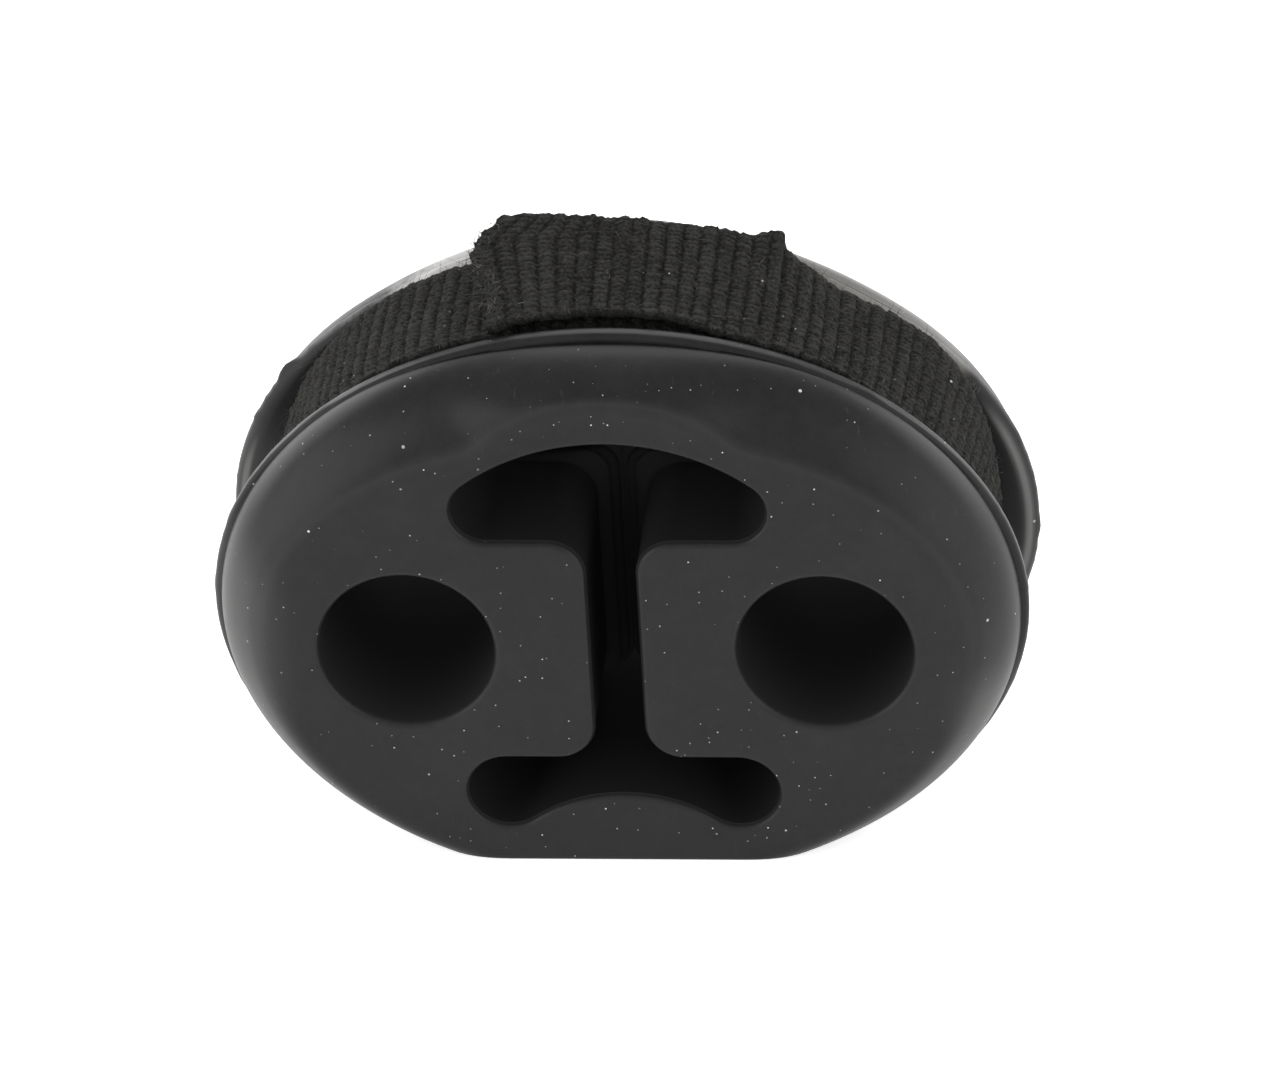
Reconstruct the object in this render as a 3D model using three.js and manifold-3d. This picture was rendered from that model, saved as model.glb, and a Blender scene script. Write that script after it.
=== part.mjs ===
// Two-hole rubber exhaust hanger with a woven textile belt wound round it.
// Units are millimetres. X runs from one pin hole to the other, Y is the depth along the
// pins with the front face at -Y, and Z is up. The origin is the middle of the flat foot.
import * as THREE from 'three';
import { mergeVertices } from 'three/addons/utils/BufferGeometryUtils.js';
import Module from 'manifold-3d';

// Pin holes
const holeSpacing = 33.4;
const holeDiameter = 14;
const holeMouthRadius = 0.5;
const holeSides = 48;

// I-shaped void between the holes: an upper slot, a narrow web slot and a lower slot
const voidWidth = 25.1;
const islandHeight = 20.5;
const webSlotWidth = 4.1;
const webFilletRadius = 3;
const upperSlotHeight = 9.2;
const upperEndRadius = 2.9;
const lowerEndRadius = 3.3;
const footBulgeHeight = 3;
const voidMouthRadius = 0.35;

// Stepped ridge on both walls of the web slot, in the middle of the depth, whose crests
// all but meet
const ridgeDepth = 5.2;
const ridgeShoulderGap = 2;
const ridgeCrestGap = 0.25;
const ridgeCrestDepth = 2.5;
const ridgeRound = 0.5;

// Rubber walls between the openings and the belt groove
const bossWall = 3.1;
const crownWall = 4.55;
const slotFloorWall = 1.05;

// Belt
const beltThickness = 1.6;
const beltFit = 0.3;
const ribPitch = 1.35;
const ribHeight = 0.35;

// Overlapped ends of the belt, measured along it from the middle of the top
const lapStart = 10.6;
const lapSlant = 2.2;
const lapStep = 0.9;
const lapEnd = 12.8;
const lapFade = 8;
const lapRiseFront = 1.1;
const lapRiseRear = 2.4;
const lapSetBack = 1.2;

// Body, its two bevelled flanges and their lips
const bodyDepth = 27.5;
const bevelDepth = 6;
const lipThickness = 1.6;
const lipProud = 0.6;
const lipSideCover = 3.9;
const lipTopCover = 0.05;
const centreRise = 0.7;
const footRecess = 0.35;
const lipCornerRadius = 0.4;

// Face pad, as distances inside the lip
const padSideInset = 4.2;
const padShoulderInset = 6.45;
const padFootInset = 2.25;
const padEdgeRadius = 0.4;

// Raised dome of the pad over the upper slot
const domeInset = 1.95;
const domeWidth = 21.2;
const domeHeight = 7;
const domeBlend = 0.4;

// Heights above and below the line of the holes
const islandHalf = islandHeight / 2;
const webSlotHalf = webSlotWidth / 2;
const archTop = islandHalf + upperSlotHeight;
const slotFloor = islandHalf + 2 * lowerEndRadius;
const bulgeTop = footBulgeHeight - slotFloor;
const coreTop = archTop + crownWall;
const coreBottom = slotFloor + slotFloorWall;
const holeHeight = coreBottom + beltFit + beltThickness + footRecess;
const lipTop = coreTop + beltFit + beltThickness + lipTopCover;

// Half sizes about the centre that all the outlines share
const centreHeight = holeHeight + centreRise;
const coreHalfWidth = holeSpacing / 2 + holeDiameter / 2 + bossWall;
const lipHalfWidth = coreHalfWidth + beltFit + beltThickness + lipSideCover;
const lipHalfHeight = lipTop - centreRise;

const halfDepth = bodyDepth / 2;
const grooveHalf = halfDepth - bevelDepth - lipThickness;
const beltHalf = grooveHalf - beltFit;

// Fullness of the outlines: 2 is an ellipse, more is squarer
const lipFullness = 2;
const shoulderFullness = 2.15;
const coreTopFullness = 2.4;
const coreFootFullness = 3.4;

// How strongly the bevel is crowned, at the sides, and how much more at the top
const bevelCrown = 2;
const bevelCrownChange = 0.4;

const outlinePoints = 96;
const ribSamples = [0, 1, 1];
const overshoot = 1;

// Radius of an oval about the centre, in the direction of an angle
function ovalRadius(angle, halfWidth, halfHeight, fullness) {
  const across = Math.pow(Math.abs(Math.cos(angle)) / halfWidth, fullness);
  const along = Math.pow(Math.abs(Math.sin(angle)) / halfHeight, fullness);
  return Math.pow(across + along, -1 / fullness);
}

function lipRadius(angle) {
  return ovalRadius(angle, lipHalfWidth, lipHalfHeight, lipFullness);
}

function creaseRadius(angle) {
  return lipRadius(angle) - lipProud;
}

// Floor of the belt groove
function coreRadius(angle) {
  if (Math.sin(angle) > 0) {
    return ovalRadius(angle, coreHalfWidth, coreTop - centreRise, coreTopFullness);
  }
  return ovalRadius(angle, coreHalfWidth, coreBottom + centreRise, coreFootFullness);
}

// Far side of the dome's ellipse along a ray from the centre, or 0 where the ray misses it
function domeRadius(angle) {
  const halfWidth = domeWidth / 2;
  const base = lipHalfHeight - domeInset - domeHeight;
  const c = Math.cos(angle) / halfWidth;
  const s = Math.sin(angle) / domeHeight;
  const h = base / domeHeight;
  const a = c * c + s * s;
  const discriminant = s * s * h * h - a * (h * h - 1);
  if (discriminant < 0) {
    return 0;
  }
  return (s * h + Math.sqrt(discriminant)) / a;
}

function padRadius(angle) {
  const halfWidth = lipHalfWidth - padSideInset;
  if (Math.sin(angle) <= 0) {
    return ovalRadius(angle, halfWidth, lipHalfHeight - padFootInset, lipFullness);
  }
  const shoulder = ovalRadius(angle, halfWidth, lipHalfHeight - padShoulderInset, shoulderFullness);
  const dome = domeRadius(angle);
  const blend = Math.log(1 + Math.exp(-Math.abs(shoulder - dome) / domeBlend));
  return Math.max(shoulder, dome) + domeBlend * blend;
}

// Crowned bevel: from the pad at the face to the crease at the lip
function bevelRadius(angle, depth) {
  const left = 1 - depth / bevelDepth;
  const power = bevelCrown + bevelCrownChange * Math.sin(angle);
  const share = 1 - Math.pow(left, power);
  return padRadius(angle) + (creaseRadius(angle) - padRadius(angle)) * share;
}

// Angles of the outline's points, evenly spaced along the pad and alike on both sides
function outlineAngles() {
  const fine = 2000;
  const half = outlinePoints / 2;
  const lengths = [0];
  const at = (k) => {
    const angle = -Math.PI / 2 + (Math.PI * k) / fine;
    return new THREE.Vector2(Math.cos(angle), Math.sin(angle)).multiplyScalar(padRadius(angle));
  };
  for (let k = 1; k <= fine; k++) {
    lengths.push(lengths[k - 1] + at(k).distanceTo(at(k - 1)));
  }
  const right = [];
  let k = 0;
  for (let i = 0; i <= half; i++) {
    const wanted = (lengths[fine] * i) / half;
    while (k < fine && lengths[k] < wanted) {
      k++;
    }
    right.push(-Math.PI / 2 + (Math.PI * k) / fine);
  }
  const left = right.slice(1, -1).reverse().map((angle) => Math.PI - angle);
  return right.concat(left);
}

function ring(points, y) {
  return points.map((p) => new THREE.Vector3(p.x, y, p.y));
}

// Closed solid through rings of equal count, each anticlockwise seen from the front
function loft(rings) {
  const count = rings[0].length;
  const position = rings.flat().flatMap((p) => [p.x, p.y, p.z]);
  const index = [];
  for (let r = 0; r + 1 < rings.length; r++) {
    for (let i = 0; i < count; i++) {
      const next = (i + 1) % count;
      const a = r * count + i;
      const b = r * count + next;
      const c = (r + 1) * count + next;
      const d = (r + 1) * count + i;
      index.push(a, d, b, b, d, c);
    }
  }
  const last = (rings.length - 1) * count;
  const flat = rings[0].map((p) => new THREE.Vector2(p.x, p.z));
  for (const [i, j, k] of THREE.ShapeUtils.triangulateShape(flat, [])) {
    index.push(i, j, k);
  }
  const flatEnd = rings[rings.length - 1].map((p) => new THREE.Vector2(p.x, p.z));
  for (const [i, j, k] of THREE.ShapeUtils.triangulateShape(flatEnd, [])) {
    index.push(last + i, last + k, last + j);
  }
  const geometry = new THREE.BufferGeometry();
  geometry.setAttribute('position', new THREE.Float32BufferAttribute(position, 3));
  geometry.setIndex(index);
  return geometry;
}

// Front half of the body's rings, as a depth from the face and a radius for each angle
function flangeStations() {
  const face = [
    [0, (angle) => bevelRadius(angle, 0) - padEdgeRadius],
    [padEdgeRadius / 3, (angle) => bevelRadius(angle, padEdgeRadius / 3) - padEdgeRadius / 4],
  ];
  const bevel = [0.1, 0.25, 0.45, 0.7, 1].map((share) => {
    const depth = share * bevelDepth;
    return [depth, (angle) => bevelRadius(angle, depth)];
  });
  const lipRear = bevelDepth + lipThickness;
  const lip = [
    [bevelDepth + lipCornerRadius / 3, (angle) => lipRadius(angle) - lipCornerRadius / 2],
    [bevelDepth + lipCornerRadius, lipRadius],
    [lipRear - lipCornerRadius, lipRadius],
    [lipRear, (angle) => lipRadius(angle) - lipCornerRadius],
    [lipRear, coreRadius],
  ];
  return face.concat(bevel, lip);
}

function bodyBlank() {
  const angles = outlineAngles();
  const outline = (radius) => angles.map((angle) => {
    const r = radius(angle);
    return new THREE.Vector2(r * Math.cos(angle), centreHeight + r * Math.sin(angle));
  });
  const stations = flangeStations();
  const front = stations.map(([depth, radius]) => ring(outline(radius), depth - halfDepth));
  const rear = stations.map(([depth, radius]) => ring(outline(radius), halfDepth - depth));
  return loft(front.concat(rear.reverse()));
}

// Pin hole along Y, with rounded mouths
function holeTool(x) {
  const radius = holeDiameter / 2;
  const mouth = [];
  for (let i = 0; i <= 2; i++) {
    const turn = (Math.PI / 4) * i;
    mouth.push(new THREE.Vector2(
      radius + holeMouthRadius * (1 - Math.sin(turn)),
      -halfDepth + holeMouthRadius * (1 - Math.cos(turn)),
    ));
  }
  const outer = radius + holeMouthRadius;
  const front = [
    new THREE.Vector2(0, -halfDepth - overshoot),
    new THREE.Vector2(outer, -halfDepth - overshoot),
    ...mouth,
  ];
  const rear = front.map((p) => new THREE.Vector2(p.x, -p.y)).reverse();
  const geometry = new THREE.LatheGeometry(front.concat(rear), holeSides);
  geometry.translate(x, 0, holeHeight);
  return geometry;
}

function arc(x, z, radius, from, to, steps) {
  const points = [];
  for (let i = 0; i <= steps; i++) {
    const angle = from + ((to - from) * i) / steps;
    points.push(new THREE.Vector2(x + radius * Math.cos(angle), z + radius * Math.sin(angle)));
  }
  return points;
}

// Outline of the void about the line of the holes, for a half width of its web slot,
// with every edge moved out by grow
function voidOutline(webHalf, grow) {
  const quarter = Math.PI / 2;
  const lowerX = voidWidth / 2 - lowerEndRadius;
  const lowerZ = -islandHalf - lowerEndRadius;
  const upperX = voidWidth / 2 - upperEndRadius;
  const upperZ = islandHalf + upperEndRadius;
  const filletX = webHalf + webFilletRadius;
  const filletZ = islandHalf - webFilletRadius;

  // Bulge of the foot strap, outside tangent to the lower slot's ends
  const sink = lowerZ - bulgeTop;
  const bulgeRadius = (lowerX ** 2 + sink ** 2 - lowerEndRadius ** 2) / (2 * (lowerEndRadius - sink));
  const bulgeZ = bulgeTop - bulgeRadius;
  const bulgeTurn = Math.atan2(lowerZ - bulgeZ, lowerX);

  // Arch of the crown, inside tangent to the upper slot's ends
  const climb = archTop - upperZ;
  const archRadius = (upperX ** 2 + climb ** 2 - upperEndRadius ** 2) / (2 * (climb - upperEndRadius));
  const archZ = archTop - archRadius;
  const archTurn = Math.atan2(upperZ - archZ, upperX);

  const bulge = arc(0, bulgeZ, bulgeRadius - grow, quarter, bulgeTurn, 5);
  const lowerEnd = arc(lowerX, lowerZ, lowerEndRadius + grow, bulgeTurn - Math.PI, quarter, 9);
  const lowerFillet = arc(filletX, -filletZ, webFilletRadius - grow, -quarter, -Math.PI, 5);
  const upperFillet = arc(filletX, filletZ, webFilletRadius - grow, Math.PI, quarter, 5);
  const upperEnd = arc(upperX, upperZ, upperEndRadius + grow, -quarter, archTurn, 8);
  const arch = arc(0, archZ, archRadius + grow, archTurn, quarter, 6);
  const right = [
    ...bulge.slice(0, -1),
    ...lowerEnd,
    ...lowerFillet,
    ...upperFillet,
    ...upperEnd.slice(0, -1),
    ...arch,
  ];
  const left = right.slice(1, -1).reverse().map((p) => new THREE.Vector2(-p.x, p.y));
  return right.concat(left);
}

function voidTool() {
  const slant = 1 - Math.SQRT1_2;
  const mouthMiddle = voidMouthRadius * slant;
  const shoulder = ridgeShoulderGap / 2;
  const crest = ridgeCrestGap / 2;
  const stations = [
    [-halfDepth - overshoot, webSlotHalf, voidMouthRadius],
    [-halfDepth, webSlotHalf, voidMouthRadius],
    [-halfDepth + mouthMiddle, webSlotHalf, mouthMiddle],
    [-halfDepth + voidMouthRadius, webSlotHalf, 0],
    [-ridgeDepth / 2, webSlotHalf, 0],
    [-ridgeDepth / 2 + ridgeRound, shoulder, 0],
    [-ridgeCrestDepth / 2 - ridgeRound, shoulder, 0],
    [-ridgeCrestDepth / 2, crest, 0],
  ];
  const front = stations.map(([y, half, grow]) => ring(voidOutline(half, grow), y));
  const rear = stations.map(([y, half, grow]) => ring(voidOutline(half, grow), -y));
  const geometry = loft(front.concat(rear.reverse()));
  geometry.translate(0, 0, holeHeight);
  return geometry;
}

// Everything below the flat foot
function footTool() {
  const size = 4 * lipHalfWidth;
  const geometry = new THREE.BoxGeometry(size, size, size);
  geometry.translate(0, 0, -size / 2);
  return geometry;
}

const wasm = await Module();
wasm.setup();

function toSolid(geometry) {
  const bare = geometry.clone();
  bare.deleteAttribute('normal');
  bare.deleteAttribute('uv');
  const merged = mergeVertices(bare, 1e-4);
  return new wasm.Manifold(new wasm.Mesh({
    numProp: 3,
    vertProperties: merged.attributes.position.array,
    triVerts: merged.index.array,
  }));
}

function fromSolid(solid) {
  const mesh = solid.getMesh();
  const geometry = new THREE.BufferGeometry();
  geometry.setAttribute('position', new THREE.BufferAttribute(mesh.vertProperties, 3));
  geometry.setIndex(new THREE.BufferAttribute(mesh.triVerts, 1));
  geometry.computeVertexNormals();
  return geometry;
}

function bodyGeometry() {
  const tools = [holeTool(-holeSpacing / 2), holeTool(holeSpacing / 2), voidTool(), footTool()];
  let solid = toSolid(bodyBlank());
  for (const tool of tools) {
    solid = solid.subtract(toSolid(tool));
  }
  return fromSolid(solid);
}

// Point of the groove's floor and its outward direction, in the plane of the outline
function coreFrame(angle) {
  const at = (a) => new THREE.Vector2(Math.cos(a), Math.sin(a)).multiplyScalar(coreRadius(a));
  const small = 1e-4;
  const along = at(angle + small).sub(at(angle - small)).normalize();
  return { point: at(angle), out: new THREE.Vector2(along.y, -along.x) };
}

// Stations of the belt: the middle of its thickness at even steps, from the foot round
function beltStations() {
  const fine = 4000;
  const first = -Math.PI / 2;
  const reach = beltFit + beltThickness;
  const at = (k) => {
    const { point, out } = coreFrame(first + (2 * Math.PI * k) / fine);
    return point.addScaledVector(out, reach);
  };
  const lengths = [0];
  for (let k = 1; k <= fine; k++) {
    lengths.push(lengths[k - 1] + at(k).distanceTo(at(k - 1)));
  }
  const total = lengths[fine];
  const ribs = Math.round(total / ribPitch);
  const count = ribs * ribSamples.length;
  const stations = [];
  let k = 0;
  for (let i = 0; i < count; i++) {
    const wanted = (total * i) / count;
    while (lengths[k] < wanted) {
      k++;
    }
    stations.push({
      angle: first + (2 * Math.PI * k) / fine,
      travel: total / 2 - wanted,
      rib: ribSamples[i % ribSamples.length],
    });
  }
  return stations;
}

// How far the lapped end is raised, from 0 to 1, at a travel from the top's middle
function lapShare(travel, across) {
  const start = -lapStart - lapSlant * across;
  const rising = THREE.MathUtils.smoothstep(travel, start, start + lapStep);
  const falling = THREE.MathUtils.smoothstep(travel, lapEnd, lapEnd + lapFade);
  return rising * (1 - falling);
}

// One section of the belt: two inner corners, then the outer face from rear to front
function beltSection(station) {
  const { point, out } = coreFrame(station.angle);
  const place = (y, height) => {
    const p = point.clone().addScaledVector(out, beltFit + height);
    return new THREE.Vector3(p.x, y, centreHeight + p.y);
  };
  const outer = (across) => {
    const lap = lapShare(station.travel, across);
    const rise = lap * THREE.MathUtils.lerp(lapRiseFront, lapRiseRear, across);
    const y = THREE.MathUtils.lerp(-beltHalf + lap * lapSetBack, beltHalf, across);
    return place(y, beltThickness - ribHeight + ribHeight * station.rib + rise);
  };
  return [place(-beltHalf, 0), place(beltHalf, 0), outer(1), outer(0.5), outer(0)];
}

// Endless ribbed band
function beltGeometry() {
  const sections = beltStations().map(beltSection);
  const count = sections[0].length;
  const position = sections.flat().flatMap((p) => [p.x, p.y, p.z]);
  const index = [];
  for (let s = 0; s < sections.length; s++) {
    const following = (s + 1) % sections.length;
    for (let i = 0; i < count; i++) {
      const next = (i + 1) % count;
      const a = s * count + i;
      const b = s * count + next;
      const c = following * count + next;
      const d = following * count + i;
      index.push(a, d, b, b, d, c);
    }
  }
  const geometry = new THREE.BufferGeometry();
  geometry.setAttribute('position', new THREE.Float32BufferAttribute(position, 3));
  geometry.setIndex(index);
  geometry.computeVertexNormals();
  return geometry;
}

function mesh(name, geometry, color, roughness) {
  const material = new THREE.MeshStandardMaterial({ color, roughness, metalness: 0 });
  const item = new THREE.Mesh(geometry, material);
  item.name = name;
  return item;
}

const group = new THREE.Group();
group.add(mesh('rubber_body', bodyGeometry(), 0x2d2d2d, 0.55));
group.add(mesh('fabric_belt', beltGeometry(), 0x282623, 0.95));

export default group;
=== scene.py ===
"""Rubber exhaust hanger with a woven belt wound round it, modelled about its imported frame.

Every object is in metres. X runs from one pin hole to the other, Y is the depth along the
pins with the front face at -Y, and Z is up from the flat foot.
"""

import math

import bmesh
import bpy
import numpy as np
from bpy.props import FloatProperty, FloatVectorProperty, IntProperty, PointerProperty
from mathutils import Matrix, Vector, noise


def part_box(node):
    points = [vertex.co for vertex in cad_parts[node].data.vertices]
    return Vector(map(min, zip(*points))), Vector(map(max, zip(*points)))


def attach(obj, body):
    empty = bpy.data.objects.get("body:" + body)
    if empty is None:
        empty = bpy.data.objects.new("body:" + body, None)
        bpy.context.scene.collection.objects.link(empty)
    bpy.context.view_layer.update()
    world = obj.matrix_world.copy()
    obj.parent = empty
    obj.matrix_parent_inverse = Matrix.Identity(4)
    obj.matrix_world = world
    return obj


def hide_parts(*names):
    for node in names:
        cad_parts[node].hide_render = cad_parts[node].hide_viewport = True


bl_info = {
    "name": "Belted Exhaust Hanger",
    "version": (1, 0, 0),
    "blender": (4, 5, 0),
    "location": "View3D > Sidebar > Hanger",
    "description": "Models a rubber exhaust hanger, its woven belt and a studio round them",
    "category": "Add Mesh",
}

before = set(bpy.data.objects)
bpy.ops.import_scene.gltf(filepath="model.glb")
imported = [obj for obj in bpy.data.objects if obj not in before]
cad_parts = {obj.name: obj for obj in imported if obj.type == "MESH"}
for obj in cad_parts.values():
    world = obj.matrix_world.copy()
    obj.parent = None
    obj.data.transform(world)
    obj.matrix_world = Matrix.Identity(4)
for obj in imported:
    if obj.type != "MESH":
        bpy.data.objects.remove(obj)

MM = 0.001
BODY_LOW, BODY_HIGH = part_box("rubber_body")
BELT_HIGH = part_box("fabric_belt")[1]
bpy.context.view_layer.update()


def length(name, description, default):
    """A length in metres."""
    return FloatProperty(
        name=name, description=description, default=default, min=0.0, precision=5,
        subtype="DISTANCE", unit="LENGTH",
    )


def number(name, description, default):
    """A plain ratio or strength."""
    return FloatProperty(name=name, description=description, default=default, min=0.0)


def count(name, description, default):
    """A whole number of points, rings or copies."""
    return IntProperty(name=name, description=description, default=default, min=1)


def colour(name, description, default):
    """A linear colour."""
    return FloatVectorProperty(
        name=name, description=description, default=default, min=0.0, max=1.0,
        size=3, subtype="COLOR",
    )


class HangerBodySizes(bpy.types.PropertyGroup):
    """Sizes of the rubber body."""

    body_depth: length("Depth", "From face to face along the pins", BODY_HIGH.y - BODY_LOW.y)
    lip_half_width: length("Lip Half Width", "Widest half width, at the lips", BODY_HIGH.x)
    body_height: length("Height", "From the flat foot to the top of the lips", BODY_HIGH.z)
    hole_height: length("Hole Height", "Line of the pin holes above the foot", 20.15 * MM)
    hole_spacing: length("Hole Spacing", "Between the centres of the pin holes", 33.4 * MM)
    hole_diameter: length("Hole Diameter", "Bore of a pin hole", 14.0 * MM)
    hole_mouth: length("Hole Mouth", "Rounding of a pin hole's mouth", 0.6 * MM)
    void_width: length("Void Width", "Across the two slots of the void", 25.1 * MM)
    island_height: length("Island Height", "Rubber between the two slots", 20.5 * MM)
    web_gap: length("Web Slot", "Width of the slot between the pin holes", 4.1 * MM)
    web_fillet: length("Web Fillet", "Corner radius where the web slot opens", 3.0 * MM)
    upper_height: length("Upper Slot Height", "Height of the upper slot", 9.2 * MM)
    upper_end: length("Upper Slot End", "End radius of the upper slot", 2.9 * MM)
    lower_end: length("Lower Slot End", "End radius of the lower slot", 3.3 * MM)
    foot_bulge: length("Foot Bulge", "Rise of the foot strap in the lower slot", 3.0 * MM)
    void_mouth: length("Void Mouth", "Rounding of the void's mouth", 0.45 * MM)
    mouth_rim: length("Mouth Rim", "Fine raised line just inside the void's mouth", 0.07 * MM)
    ridge_depth: length("Ridge Depth", "Depth of the moulding ridge's base", 3.4 * MM)
    ridge_step_gap: length("Ridge Step Gap", "Slot left at the ridge's step", 2.1 * MM)
    crest_gap: length("Crest Gap", "Slot left between the crests", 0.7 * MM)
    ridge_round: length("Ridge Rounding", "Run of each step of the ridge", 0.4 * MM)
    membrane: length("Membrane", "Thickness of the thin skin that closes the slot", 0.7 * MM)
    membrane_gap: length("Membrane Gap", "Slit left in that skin", 0.004 * MM)
    membrane_fillet: length("Membrane Fillet", "Corner radius at the skin's top", 0.06 * MM)
    membrane_reach: length("Membrane Reach", "Skin above the ridge, in the upper slot", 0.9 * MM)
    ridge_reach: length("Ridge Reach", "Ridge above the islands, in the upper slot", 0.8 * MM)
    ridge_fillet: length("Ridge Fillet", "Radius in which the ridge's lines flare out", 2.0 * MM)
    boss_wall: length("Boss Wall", "Rubber between a pin hole and the belt", 3.1 * MM)
    crown_wall: length("Crown Wall", "Rubber over the upper slot", 4.55 * MM)
    slot_floor_wall: length("Floor Wall", "Rubber under the lower slot", 1.05 * MM)
    bevel_depth: length("Bevel Depth", "From the face to the crease", 6.0 * MM)
    lip_thickness: length("Lip Thickness", "From the crease to the groove", 1.6 * MM)
    lip_proud: length("Lip Proud", "Step from the bevel up to the lip", 0.6 * MM)
    lip_corner: length("Lip Corner", "Rounding of the lip's edge at the crease", 0.45 * MM)
    lip_bead: length("Lip Bead", "Run of the lip's rounding into the groove", 0.9 * MM)
    crease: length("Crease", "Depth of the fine groove beside the lip", 0.08 * MM)
    groove_fillet: length("Groove Fillet", "Rounding at the groove's floor", 0.8 * MM)
    centre_rise: length("Centre Rise", "Centre of the ovals above the holes", 0.7 * MM)
    pad_side_inset: length("Pad Side Inset", "Pad inside the lip at the sides", 4.2 * MM)
    pad_shoulder_inset: length("Pad Shoulder Inset", "Pad inside the lip on top", 6.45 * MM)
    pad_foot_inset: length("Pad Foot Inset", "Pad inside the lip below", 2.25 * MM)
    pad_edge: length("Pad Edge", "Rounding from the pad into the bevel", 0.9 * MM)
    dome_inset: length("Dome Inset", "Dome of the pad inside the lip", 2.6 * MM)
    dome_width: length("Dome Width", "Width of the pad's dome", 21.2 * MM)
    dome_height: length("Dome Height", "Height of the pad's dome", 7.0 * MM)
    dome_blend: length("Dome Blend", "Blend of the dome into the pad", 0.5 * MM)
    foot_edge: length("Foot Edge", "Rounding round the flat foot", 0.35 * MM)
    flash_height: length("Flash Height", "Highest flash on the rear lip", 0.8 * MM)
    front_flash: number("Front Flash", "Share of that flash on the front lip", 0.3)
    right_flash: number("Right Flash", "Share of that flash on the rear lip's right side", 0.45)
    rear_sag: length("Rear Sag", "Drop of the rear lip at its shoulders and sides", 0.9 * MM)
    flash_pitch: length("Flash Pitch", "Spacing of the flash's lumps", 3.2 * MM)
    outline_points: count("Outline Points", "Points round the oval outlines", 480)
    hole_points: count("Hole Points", "Points round a pin hole", 96)


class HangerBeltSizes(bpy.types.PropertyGroup):
    """Sizes of the woven belt."""

    half_width: length("Half Width", "Half the belt's width", BELT_HIGH.y)
    thickness: length("Thickness", "Over the ribs", 1.6 * MM)
    fit: length("Fit", "Between the belt and the groove's floor", 0.3 * MM)
    rib_pitch: length("Rib Pitch", "From rib to rib along the belt", 1.32 * MM)
    rib_height: length("Rib Height", "Of a rib above the belt's ground", 0.32 * MM)
    thread_pitch: length("Thread Pitch", "From thread to thread across the belt", 0.54 * MM)
    lap_thickness: length("Lap Thickness", "Of the outer layer at the lap", 1.05 * MM)
    lap_start: length("Lap Start", "Cut end, left of the middle of the top", 9.3 * MM)
    lap_slant: length("Lap Slant", "Cut end's slant from front to rear", 1.7 * MM)
    lap_corner: length("Lap Corner", "Cut-back of the end's rear corner", 2.6 * MM)
    lap_end: length("Lap End", "Inner end, right of the middle of the top", 12.2 * MM)
    lap_fade: length("Lap Fade", "Length over which the lap climbs", 6.5 * MM)
    lap_front_rise: length("Lap Front Rise", "Lap's rise at its front edge", 0.65 * MM)
    lap_rear_rise: length("Lap Rear Rise", "Lap's rise at its rear edge", 2.35 * MM)
    lap_lift: length("Lap Lift", "Further rise towards the cut end", 1.5 * MM)
    lap_sink: length("Lap Sink", "Sink of the inner end's front edge under the lap", 1.7 * MM)
    lap_set_back: length("Lap Set Back", "Lap's front edge behind the belt's", 1.3 * MM)
    lap_gap_reach: length("Lap Gap Reach", "Half length of that set-back edge", 9.6 * MM)
    side_rise: length("Side Rise", "Rise of the rear edge on the right", 1.3 * MM)
    nub_height: length("Nub Height", "Bump over the corner of the inner end", 1.0 * MM)
    nub_radius: length("Nub Radius", "Reach of that bump", 1.1 * MM)
    seam_place: length("Seam Place", "Open rib, right of the middle of the top", 23.0 * MM)
    seam_depth: length("Seam Depth", "Depth of the open rib", 0.45 * MM)
    rib_rows: count("Rows in a Rib", "Points along the belt in each rib", 6)
    thread_columns: count("Columns in a Thread", "Points across each thread", 4)
    fibres: count("Fibres", "Loose fibres of the belt's nap", 3600)
    seed: count("Seed", "Start of the belt's random numbers", 7)


class HangerFinish(bpy.types.PropertyGroup):
    """Colours and surface of the rubber and the belt."""

    rubber: colour("Rubber", "Clean rubber", (0.0075, 0.0075, 0.0078))
    # Also the colour of the painted reflection low down and of the painted highlight on the pad's
    # edge.
    rubber_film: colour("Dust Film", "Rubber under a film of dust", (0.021, 0.021, 0.0214))
    # Matt colour that paints shade into the openings and the groove.
    rubber_shaded_inside: colour("Rubber Inside", "Dull rubber in the openings", (0.021, 0.021, 0.021))
    # Colour of the painted glare on the rear crown.
    rubber_glare: colour("Dry Film", "Pale dry film on the rear crown", (0.125, 0.119, 0.112))
    # Pale colour of the painted highlights, reflections and glare.
    rubber_highlight: colour("Chalky Film", "Thick film and worn edges", (0.42, 0.41, 0.4))
    rubber_roughness: number("Rubber Roughness", "Satin moulded surface", 0.32)
    rubber_gloss: number("Rubber Gloss", "Reflection of the rubber", 0.2)
    # Share of the painted shade in the openings.
    shade_dulling: number("Inside Dulling", "Share of dull rubber in the openings", 1.0)
    speck: colour("Dust", "Pale specks of dust", (0.7, 0.7, 0.68))
    belt: colour("Belt", "Crowns of the threads", (0.058, 0.057, 0.053))
    # Colour of the painted shade between the threads.
    belt_painted_shade: colour("Belt Shade", "Between the threads", (0.0135, 0.0132, 0.0123))
    belt_roughness: number("Belt Roughness", "Matt textile", 0.92)
    belt_gloss: number("Belt Gloss", "Reflection of the textile", 0.1)
    fibre: colour("Fibre", "Worn loose fibres", (0.22, 0.21, 0.195))


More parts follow.
